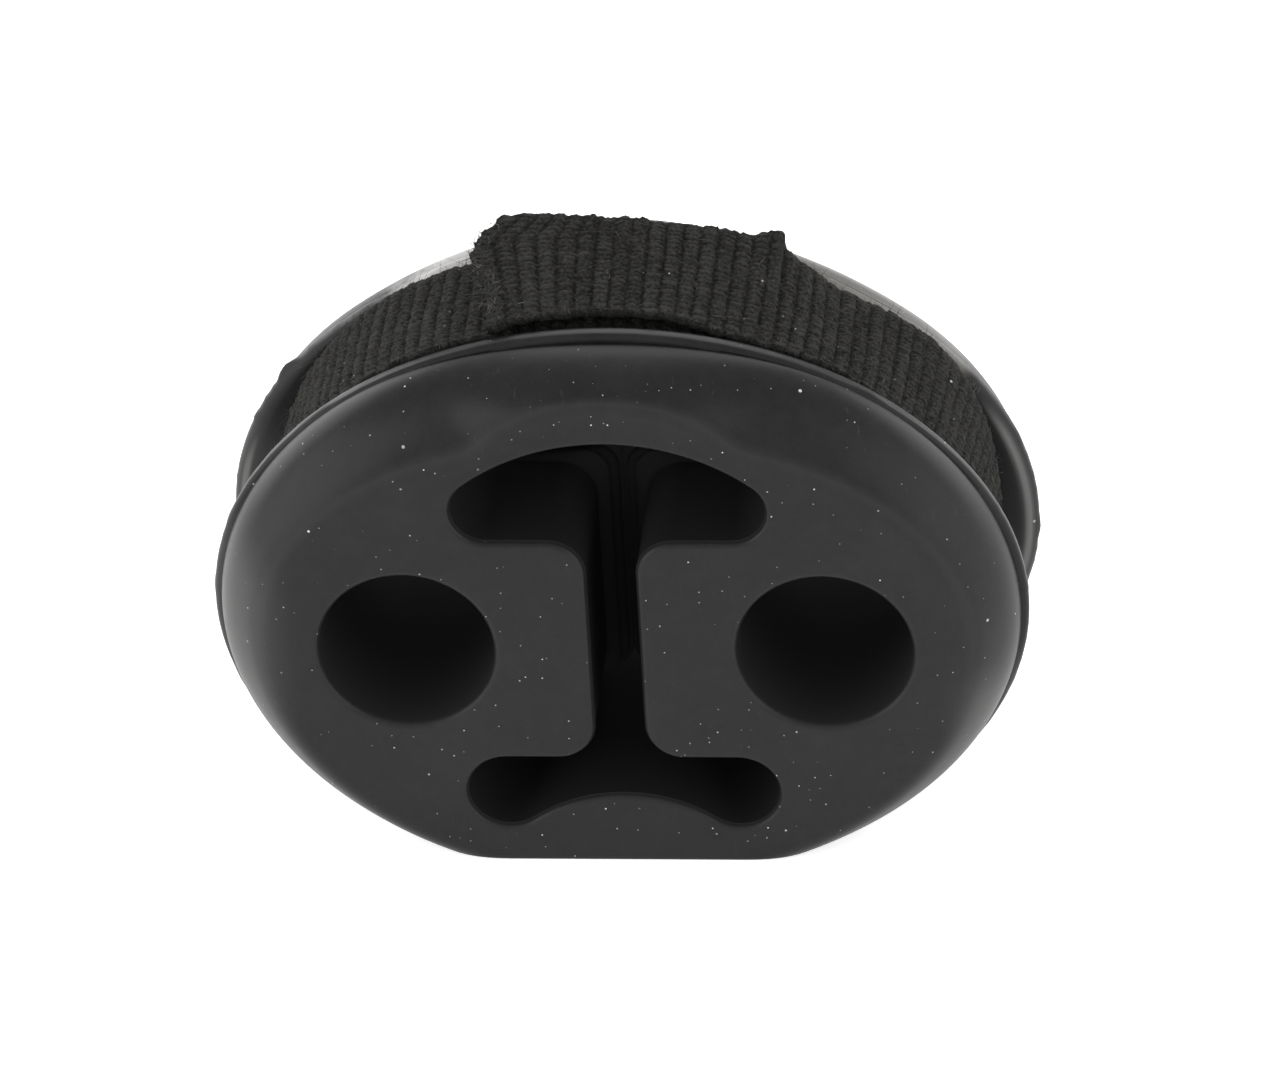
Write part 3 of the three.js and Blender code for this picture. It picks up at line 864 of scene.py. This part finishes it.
    def closed_section(self, travel, y, height, thick):
        """Adds the strip's two edges and its underside to the columns of its outer face."""
        ground = np.stack([height[:, :9].min(axis=1), height[:, -9:].min(axis=1)], axis=1)
        parts = [(travel, y, height)]
        under = ground - thick
        for share in (0.4, 0.85):
            bulge = self.EDGE_BULGE * math.sin(math.pi * share)
            level = height[:, -1:] * (1 - share) + under[:, 1:] * share
            parts.append((travel[:, -1:], y[:, -1:] + bulge, level))
        for step in range(self.UNDER_COLUMNS + 1):
            share = step / self.UNDER_COLUMNS
            level = under[:, 1:] * (1 - share) + under[:, :1] * share
            place = y[:, -1:] * (1 - share) + y[:, :1] * share
            parts.append((travel[:, -1:] * (1 - share) + travel[:, :1] * share, place, level))
        for share in (0.85, 0.4):
            bulge = self.EDGE_BULGE * math.sin(math.pi * share)
            level = height[:, :1] * (1 - share) + under[:, :1] * share
            parts.append((travel[:, :1], y[:, :1] - bulge, level))
        parts.append((travel[:, :1], y[:, :1], height[:, :1]))
        travel, y, height = (np.concatenate([part[i] for part in parts], axis=1) for i in range(3))
        floor, out = self.run.at(travel)
        x = floor[0] + out[0] * height
        z = floor[1] + out[1] * height
        return np.stack([x, y, z], axis=2)


def wound_belt(shape):
    """A flat grid wound into the belt, its section closed and its ends filled."""
    clear_selection()
    grid = shape.section()
    rows, columns = grid.shape[0] - 1, grid.shape[1] - 1
    bpy.ops.mesh.primitive_grid_add(x_subdivisions=columns, y_subdivisions=rows, size=1.0)
    belt = bpy.context.object
    belt.name = "woven_belt"
    belt.data.name = "woven_belt"
    flat = np.zeros(len(belt.data.vertices) * 3)
    belt.data.vertices.foreach_get("co", flat)
    flat = flat.reshape(-1, 3)
    column = np.rint((flat[:, 0] + 0.5) * columns).astype(int)
    row = np.rint((flat[:, 1] + 0.5) * rows).astype(int)
    belt.data.vertices.foreach_set("co", grid[row, column].ravel())
    # The belt's edges and underside get no crowns, so they take more of the painted shade colour.
    crowns_and_shade = np.zeros(grid.shape[:2])
    crowns_and_shade[:, :shape.outer_columns + 1] = shape.crowns_and_shade
    mark(belt, "crown", crowns_and_shade[row, column])
    belt.data.update()
    edit_whole()
    bpy.ops.mesh.remove_doubles(threshold=1e-6)
    bpy.ops.mesh.select_all(action="DESELECT")
    bpy.ops.mesh.select_non_manifold(
        extend=False, use_wire=False, use_multi_face=False,
        use_non_contiguous=False, use_verts=False,
    )
    bpy.ops.mesh.fill(use_beauty=True)
    bpy.ops.mesh.select_all(action="SELECT")
    bpy.ops.mesh.normals_make_consistent(inside=False)
    bpy.ops.object.mode_set(mode="OBJECT")
    bpy.ops.object.shade_smooth()
    return belt, grid


def one_fibre(sides, steps):
    """A thin straight fibre along Z, one unit long and one unit thick, to be copied."""
    clear_selection()
    bpy.ops.mesh.primitive_cylinder_add(vertices=sides, radius=0.5, depth=1.0, location=(0, 0, 0.5))
    fibre = bpy.context.object
    bpy.ops.object.transform_apply(location=True, rotation=True, scale=True)
    edit_whole()
    for step in range(1, steps):
        bpy.ops.mesh.bisect(plane_co=(0, 0, step / steps), plane_no=(0, 0, 1))
        bpy.ops.mesh.select_all(action="SELECT")
    bpy.ops.mesh.quads_convert_to_tris()
    bpy.ops.object.mode_set(mode="OBJECT")
    points = points_of(fibre)
    faces = [tuple(face.vertices) for face in fibre.data.polygons]
    bpy.data.objects.remove(fibre)
    return points, faces


# A fibre's first random draw says what kind it is. Above the last share it stands anywhere.
FRONT_EDGE, REAR_EDGE, CUT_END, LYING = 0.25, 0.5, 0.6, 0.72
ROOT_DEPTH = 0.05 * MM
ABOVE_FLOOR = 0.1 * MM


def belt_nap(shape, grid):
    """Loose fibres on the belt: half at its edges, some at its cut end, some lying flat."""
    sizes = shape.sizes
    random = np.random.default_rng(sizes.seed + 1)
    points, faces = one_fibre(3, 4)
    outer = shape.outer_columns
    along = np.gradient(grid, axis=0)
    round_it = np.gradient(grid, axis=1)
    out = np.cross(round_it, along)
    out /= np.maximum(np.linalg.norm(out, axis=2), 1e-12)[:, :, None]
    share = points[:, 2:3]
    verts = []
    polygons = []
    for _ in range(sizes.fibres):
        kind = random.random()
        row = int(random.integers(6, shape.rows - 1))
        column = int(random.integers(2, outer - 2))
        reach = random.uniform(0.2, 0.7) * MM
        width = random.uniform(0.022, 0.055) * MM
        lean = random.normal(0, 1, 3)
        lift, bend, hump = 0.5, 0.75, 0.0
        if kind < FRONT_EDGE:
            column = int(random.integers(0, 3))
            lean[1] -= 1.6
        elif kind < REAR_EDGE:
            column = int(outer - random.integers(0, 3))
            lean[1] += 1.6
        elif kind < CUT_END:
            row = shape.rows - int(random.integers(0, 5))
            reach *= 1.4
            width *= 1.5
        elif kind < LYING:
            lean = along[row, column] / np.linalg.norm(along[row, column])
            lean = lean * random.choice((-1, 1)) + random.normal(0, 0.12, 3)
            lift, bend, hump = 0.05, 0.12, 0.07
            reach = random.uniform(0.8, 3.4) * MM
        root = grid[row, column]
        normal = out[row, column]
        first = normal * lift + lean * 0.55
        first /= np.linalg.norm(first)
        second = first * 0.3 + random.normal(0, bend, 3)
        path = share * first + share ** 2 * 0.5 * second + hump * share * (1 - share) * normal
        centre = root - normal * ROOT_DEPTH + reach * path
        side = np.cross(first, [0.31, 0.77, 0.55])
        side /= np.linalg.norm(side)
        other = np.cross(first, side)
        taper = width * (1 - 0.6 * share)
        fibre = centre + taper * (points[:, :1] * side + points[:, 1:2] * other)
        if fibre[:, 2].min() < ABOVE_FLOOR:
            continue
        start = len(verts)
        verts.extend(fibre)
        polygons.extend(tuple(start + index for index in face) for face in faces)
    mesh = bpy.data.meshes.new("belt_nap")
    mesh.from_pydata([tuple(point) for point in verts], [], polygons)
    nap = bpy.data.objects.new("belt_nap", mesh)
    bpy.context.scene.collection.objects.link(nap)
    clear_selection()
    nap.select_set(True)
    bpy.context.view_layer.objects.active = nap
    edit_whole()
    bpy.ops.mesh.normals_make_consistent(inside=False)
    bpy.ops.object.mode_set(mode="OBJECT")
    bpy.ops.object.shade_smooth()
    return nap


class Field:
    """One output of a material's nodes, joined to others by Python's own operators."""

    def __init__(self, tree, socket):
        self.tree = tree
        self.socket = socket

    def node(self, kind, settings, values, output=0):
        """Adds a node, sets its settings, then gives its sockets their values or links."""
        node = self.tree.nodes.new(kind)
        for name, setting in settings.items():
            setattr(node, name, setting)
        for name, value in values.items():
            if isinstance(value, Field):
                self.tree.links.new(value.socket, node.inputs[name])
            else:
                node.inputs[name].default_value = value
        return Field(self.tree, node.outputs[output])

    def math(self, operation, *values):
        """One step of arithmetic on numbers or fields."""
        return self.node("ShaderNodeMath", {"operation": operation}, dict(enumerate(values)))

    def __add__(self, other):
        return self.math("ADD", self, other)

    __radd__ = __add__

    def __sub__(self, other):
        return self.math("SUBTRACT", self, other)

    def __rsub__(self, other):
        return self.math("SUBTRACT", other, self)

    def __mul__(self, other):
        return self.math("MULTIPLY", self, other)

    __rmul__ = __mul__

    def below(self, level):
        """1 where this is less than level, else 0."""
        return self.math("LESS_THAN", self, level)

    def highest(self, other):
        """The higher of the two at each point."""
        return self.math("MAXIMUM", self, other)

    def fade(self, low, high, start=0.0, end=1.0):
        """Smooth change from start at low to end at high."""
        values = {"Value": self, "From Min": low, "From Max": high, "To Min": start, "To Max": end}
        return self.node("ShaderNodeMapRange", {"interpolation_type": "SMOOTHSTEP"}, values)

    def noise(self, size, detail=3.0, roughness=0.5):
        """Noise over these coordinates, with patches of a size in metres."""
        values = {"Vector": self, "Scale": 1.0 / size, "Detail": detail, "Roughness": roughness}
        return self.node("ShaderNodeTexNoise", {}, values)

    def scaled(self, factors):
        """These coordinates times a factor for each axis."""
        values = {0: self, 1: factors}
        return self.node("ShaderNodeVectorMath", {"operation": "MULTIPLY"}, values)

    def moved(self, offset):
        """These coordinates moved aside, for noise of another draw."""
        return self.node("ShaderNodeVectorMath", {"operation": "ADD"}, {0: self, 1: offset})

    def part(self, axis):
        """X, Y or Z of a vector."""
        return self.node("ShaderNodeSeparateXYZ", {}, {0: self}, axis)

    def specks(self, spacing, low, high, share):
        """Round specks of random size, in a share of the cells of a lattice."""
        values = {"Vector": self, "Scale": 1.0 / spacing, "Randomness": 1.0}
        distance = self.node("ShaderNodeTexVoronoi", {}, values, "Distance")
        cell = self.node("ShaderNodeTexVoronoi", {}, values, "Color")
        chance = cell.part(0)
        size = low / spacing + cell.part(1) * ((high - low) / spacing)
        pale = cell.part(2)
        strength = pale * pale * 0.8 + 0.2
        return (size - distance).fade(0.0, 0.02) * chance.below(share) * strength

    def mixed(self, first, second):
        """Colour between two, by this value."""
        return self.node("ShaderNodeMix", {"data_type": "RGBA"}, {0: self, 6: first, 7: second}, 2)


def new_material(name):
    """An empty material, its object coordinates and its surface shader."""
    material = bpy.data.materials.new(name)
    material.use_nodes = True
    tree = material.node_tree
    surface = tree.nodes["Principled BSDF"]
    coordinates = tree.nodes.new("ShaderNodeTexCoord")
    return material, Field(tree, coordinates.outputs["Object"]), surface


def feed(surface, **fields):
    """Links fields to the shader's sockets, with underscores for spaces in their names."""
    for name, field in fields.items():
        field.tree.links.new(field.socket, surface.inputs[name.replace("_", " ")])


def rgba(shade):
    """A colour with full alpha."""
    return (shade[0], shade[1], shade[2], 1.0)


def mark_of(place, name):
    """A value that the mesh gives its points."""
    return place.node("ShaderNodeAttribute", {"attribute_name": name}, {}, "Fac")


def painted_rear_glare(place):
    """Share of the painted glare that lies on the crown of the rear lip and bevel."""
    rear = place.part(1).fade(5.7 * MM, 6.0 * MM) * place.part(1).fade(13 * MM, 8.5 * MM)
    ragged = (place.noise(4 * MM, 4.0, 0.6) - 0.5) * (6 * MM)
    slope = 0.154
    crown = (place.part(2) + place.part(0) * slope + ragged).fade(36.9 * MM, 39.6 * MM)
    return rear * crown * place.noise(6 * MM, 4.0, 0.6).fade(0.2, 0.6, 0.8, 1.0)


def scratches(place):
    """Faint short upright scratches in a few patches."""
    lines = place.scaled((1.0, 0.5, 0.12)).noise(0.3 * MM, 2.0, 0.5).fade(0.66, 0.74)
    return lines * place.moved((0.1, 0.3, 0.2)).noise(11 * MM, 2.0, 0.5).fade(0.52, 0.62)


def painted_low_reflection(place):
    """Share of the painted reflection of the floor on the lower bevels, which starts lower on the
    right.
    """
    across = place.part(0)
    outer = (across * across).fade((25 * MM) ** 2, (30 * MM) ** 2)
    return outer * (place.part(2) + across * 0.2).fade(25.5 * MM, 19 * MM)


def rubber_material(finish):
    """Satin black rubber under a film of dust, with painted highlights and reflections at its
    edges, painted glare on its rear crown and painted shade, matt, in its openings.
    """
    material, place, surface = new_material("moulded_rubber")
    film = place.noise(9 * MM, 5.0, 0.6).fade(0.42, 0.75)
    mottle = place.noise(1.3 * MM, 4.0, 0.6).fade(0.33, 0.7)
    bloom = place.noise(0.28 * MM, 3.0, 0.7).fade(0.3, 0.75)
    fine_specks = place.specks(0.85 * MM, 0.02 * MM, 0.085 * MM, 0.65)
    large_specks = place.moved((0.4, 0.2, 0.1)).specks(2.8 * MM, 0.07 * MM, 0.17 * MM, 0.5)
    specks = fine_specks.highest(large_specks)
    # Painted reflection of the floor: the dust film grows paler towards the bottom.
    low = place.part(2).fade(42 * MM, 14 * MM)
    film = film * 0.28 + mottle * 0.17 + bloom * 0.17 + low * 0.35
    # Painted highlight: the film is paler along the pad's upper rounded edge. The scratches are
    # real.
    film = film + scratches(place) * 0.8 + mark_of(place, "pad_edge_highlight") * 0.8
    base = film.mixed(rgba(finish.rubber), rgba(finish.rubber_film))
    # Painted highlight and painted reflection: the lip stripes and the lower bevels are mixed
    # towards a pale colour.
    painted_sheen = (mark_of(place, "painted_lip_highlight") * 0.5).highest(painted_low_reflection(place) * 0.1)
    base = painted_sheen.mixed(base, rgba(finish.rubber_highlight))
    # Painted glare on the rear crown, whiter towards the left.
    painted_glare = painted_rear_glare(place)
    whiter_glare = place.part(0).fade(-4 * MM, -13 * MM)
    base = painted_glare.mixed(base, whiter_glare.mixed(rgba(finish.rubber_glare), rgba(finish.rubber_highlight)))
    feed(surface, Base_Color=specks.mixed(base, rgba(finish.speck)))
    feed(surface, Roughness=finish.rubber_roughness + film * 0.14 + specks * 0.3)
    grain = place.noise(0.22 * MM, 3.0, 0.6) * 0.25 + place.noise(2.6 * MM, 2.0, 0.5)
    values = {"Strength": 0.2, "Distance": 0.06 * MM, "Height": grain + specks}
    feed(surface, Normal=place.node("ShaderNodeBump", {}, values))
    surface.inputs["Specular IOR Level"].default_value = finish.rubber_gloss
    # Painted shade: the openings and the groove turn matt and lose their reflections.
    dull = place.node("ShaderNodeBsdfDiffuse", {}, {"Color": rgba(finish.rubber_shaded_inside)})
    satin = Field(place.tree, surface.outputs["BSDF"])
    share = mark_of(place, "inside") * (1.0 - painted_glare) * finish.shade_dulling
    whole = place.node("ShaderNodeMixShader", {}, {0: share, 1: satin, 2: dull})
    output = place.tree.nodes["Material Output"]
    place.tree.links.new(whole.socket, output.inputs["Surface"])
    return material


def belt_material(finish):
    """Dull black yarn, paler on its crowns, with painted shade between the threads, in the open rib
    and under the lap, and dusted.
    """
    material, place, surface = new_material("woven_belt")
    crown = mark_of(place, "crown")
    patches = place.noise(4 * MM, 4.0, 0.6)
    yarn = place.noise(0.3 * MM, 4.0, 0.7)
    # Painted shade: the colour darkens between the threads by their crown heights, with random
    # patches and yarn tone.
    tone = crown * 0.5 + patches * 0.35 + yarn * 1.6 - 0.73
    base = tone.fade(0.05, 0.95).mixed(rgba(finish.belt_painted_shade), rgba(finish.belt))
    fine_specks = place.specks(1.1 * MM, 0.025 * MM, 0.085 * MM, 0.4)
    large_specks = place.moved((0.3, 0.1, 0.2)).specks(2.2 * MM, 0.06 * MM, 0.16 * MM, 0.75)
    specks = fine_specks.highest(large_specks)
    feed(surface, Base_Color=specks.mixed(base, rgba(finish.speck)))
    feed(surface, Roughness=finish.belt_roughness - yarn * 0.12)
    strands = place.noise(0.12 * MM, 3.0, 0.7)
    values = {"Strength": 1.0, "Distance": 0.28 * MM, "Height": strands * 0.6 + yarn}
    feed(surface, Normal=place.node("ShaderNodeBump", {}, values))
    surface.inputs["Specular IOR Level"].default_value = finish.belt_gloss
    return material


def nap_material(finish):
    """Worn fibres of the belt's yarn."""
    material, place, surface = new_material("belt_fibre")
    tone = place.noise(1.1 * MM, 2.0, 0.5).fade(0.52, 0.75)
    feed(surface, Base_Color=tone.mixed(rgba(finish.belt), rgba(finish.fibre)))
    surface.inputs["Roughness"].default_value = finish.belt_roughness
    surface.inputs["Specular IOR Level"].default_value = finish.belt_gloss
    return material


def floor_material(glow):
    """A pale floor that the camera sees as white, with the object's shadow on it."""
    material, place, surface = new_material("studio_floor")
    tree = material.node_tree
    surface.inputs["Roughness"].default_value = 0.9
    surface.inputs["Specular IOR Level"].default_value = 0.1
    pale = place.noise(0.5).fade(0.0, 1.0).mixed((0.8, 0.8, 0.8, 1.0), (0.82, 0.82, 0.82, 1.0))
    feed(surface, Base_Color=pale)
    path = tree.nodes.new("ShaderNodeLightPath")
    seen = Field(tree, path.outputs["Is Camera Ray"])
    seen = seen.highest(Field(tree, path.outputs["Is Glossy Ray"]))
    seen = seen.highest(Field(tree, path.outputs["Is Transmission Ray"]))
    feed(surface, Emission_Strength=seen * glow)
    surface.inputs["Emission Color"].default_value = (1.0, 1.0, 1.0, 1.0)
    return material


class HANGER_OT_body(bpy.types.Operator):
    """Model the moulded rubber body with its holes, void, bevels and lips."""

    bl_idname = "hanger.body"
    bl_label = "Rubber Body"

    def execute(self, context):
        body = rubber_body(context.scene.hanger_body)
        body.data.materials.append(rubber_material(context.scene.hanger_finish))
        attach(body, "root")
        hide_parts("rubber_body")
        return {"FINISHED"}


class HANGER_OT_belt(bpy.types.Operator):
    """Wind the woven belt round the body and add its loose fibres."""

    bl_idname = "hanger.belt"
    bl_label = "Woven Belt"

    def execute(self, context):
        sizes = context.scene.hanger_belt
        shape = BeltShape(sizes, BodyShape(context.scene.hanger_body))
        belt, grid = wound_belt(shape)
        belt.data.materials.append(belt_material(context.scene.hanger_finish))
        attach(belt, "root")
        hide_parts("fabric_belt")
        nap = belt_nap(shape, grid)
        nap.data.materials.append(nap_material(context.scene.hanger_finish))
        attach(nap, "root")
        return {"FINISHED"}


class HANGER_OT_stage(bpy.types.Operator):
    """Set up the floor, the soft light and the camera."""

    bl_idname = "hanger.stage"
    bl_label = "Studio"

    def execute(self, context):
        studio = context.scene.hanger_studio
        self.add_floor(studio)
        self.add_daylight(context.scene, studio)
        self.add_lamps(studio)
        self.add_camera(context.scene, studio)
        context.scene.view_settings.view_transform = "Standard"
        return {"FINISHED"}

    def add_floor(self, studio):
        """A wide square floor at the foot's level."""
        clear_selection()
        bpy.ops.mesh.primitive_plane_add(size=studio.floor_size)
        floor = bpy.context.object
        floor.name = "studio_floor"
        floor.data.materials.append(floor_material(studio.floor_glow))

    def add_daylight(self, scene, studio):
        """An even light, seen as white by the camera."""
        world = bpy.data.worlds.new("studio_daylight")
        scene.world = world
        world.use_nodes = True
        tree = world.node_tree
        background = tree.nodes["Background"]
        background.inputs["Color"].default_value = (1.0, 1.0, 1.0, 1.0)
        path = tree.nodes.new("ShaderNodeLightPath")
        seen = Field(tree, path.outputs["Is Camera Ray"])
        seen = seen.highest(Field(tree, path.outputs["Is Transmission Ray"]))
        strength = seen * (1.0 - studio.daylight) + studio.daylight
        tree.links.new(strength.socket, background.inputs["Strength"])

    def add_lamps(self, studio):
        """Large soft lamps above, in front, beside and behind, all aimed at the part."""
        target = Vector((0.0, 0.0, 0.02))
        lamps = (
            ("key_lamp", (0.05, -0.1, 0.85), 2.0, studio.key_power),
            ("left_lamp", (-0.8, -0.4, 0.16), 0.9, studio.left_power),
            ("right_lamp", (0.8, -0.4, 0.16), 0.9, studio.right_power),
            ("rear_left_lamp", (-0.75, 0.55, 0.2), 0.8, studio.rear_side_power),
            ("rear_right_lamp", (0.75, 0.55, 0.2), 0.8, studio.rear_side_power),
            ("front_lamp", (0.0, -1.4, 0.3), 1.4, studio.front_power),
            ("back_lamp", (0.0, 0.8, 0.52), 0.6, studio.back_power),
        )
        for name, place, size, power in lamps:
            clear_selection()
            bpy.ops.object.light_add(type="AREA", location=place)
            lamp = bpy.context.object
            lamp.name = name
            lamp.data.size = size
            lamp.data.energy = power
            lamp.rotation_euler = (target - lamp.location).to_track_quat("-Z", "Y").to_euler()

    def add_camera(self, scene, studio):
        """The camera, with its axes in the part's frame as right, up and back."""
        clear_selection()
        bpy.ops.object.camera_add()
        camera = bpy.context.object
        camera.name = "photo_camera"
        right = Vector((0.9953, 0.0823, -0.0506)).normalized()
        back = Vector((0.0965, -0.8313, 0.5474))
        back = (back - right * back.dot(right)).normalized()
        up = back.cross(right)
        turn = Matrix((right, up, back)).transposed().to_4x4()
        camera.matrix_world = Matrix.Translation(Vector(studio.eye)) @ turn
        camera.data.sensor_width = studio.sensor
        camera.data.lens = studio.lens
        camera.data.clip_end = 20.0
        scene.camera = camera


class HANGER_PT_sidebar(bpy.types.Panel):
    """Lists the pieces of the hanger."""

    bl_idname = "HANGER_PT_sidebar"
    bl_label = "Exhaust Hanger"
    bl_space_type = "VIEW_3D"
    bl_region_type = "UI"
    bl_category = "Hanger"

    def draw(self, context):
        for operator in OPERATORS:
            self.layout.operator(operator.bl_idname)


GROUPS = {
    "hanger_body": HangerBodySizes,
    "hanger_belt": HangerBeltSizes,
    "hanger_finish": HangerFinish,
    "hanger_studio": HangerStudio,
}
OPERATORS = (HANGER_OT_body, HANGER_OT_belt, HANGER_OT_stage)


def register():
    for name, group in GROUPS.items():
        bpy.utils.register_class(group)
        setattr(bpy.types.Scene, name, PointerProperty(type=group))
    for operator in OPERATORS:
        bpy.utils.register_class(operator)
    bpy.utils.register_class(HANGER_PT_sidebar)


def unregister():
    bpy.utils.unregister_class(HANGER_PT_sidebar)
    for operator in reversed(OPERATORS):
        bpy.utils.unregister_class(operator)
    for name, group in GROUPS.items():
        delattr(bpy.types.Scene, name)
        bpy.utils.unregister_class(group)


def main():
    register()
    bpy.ops.hanger.body()
    bpy.ops.hanger.belt()
    bpy.ops.hanger.stage()


if __name__ == "__main__":
    main()
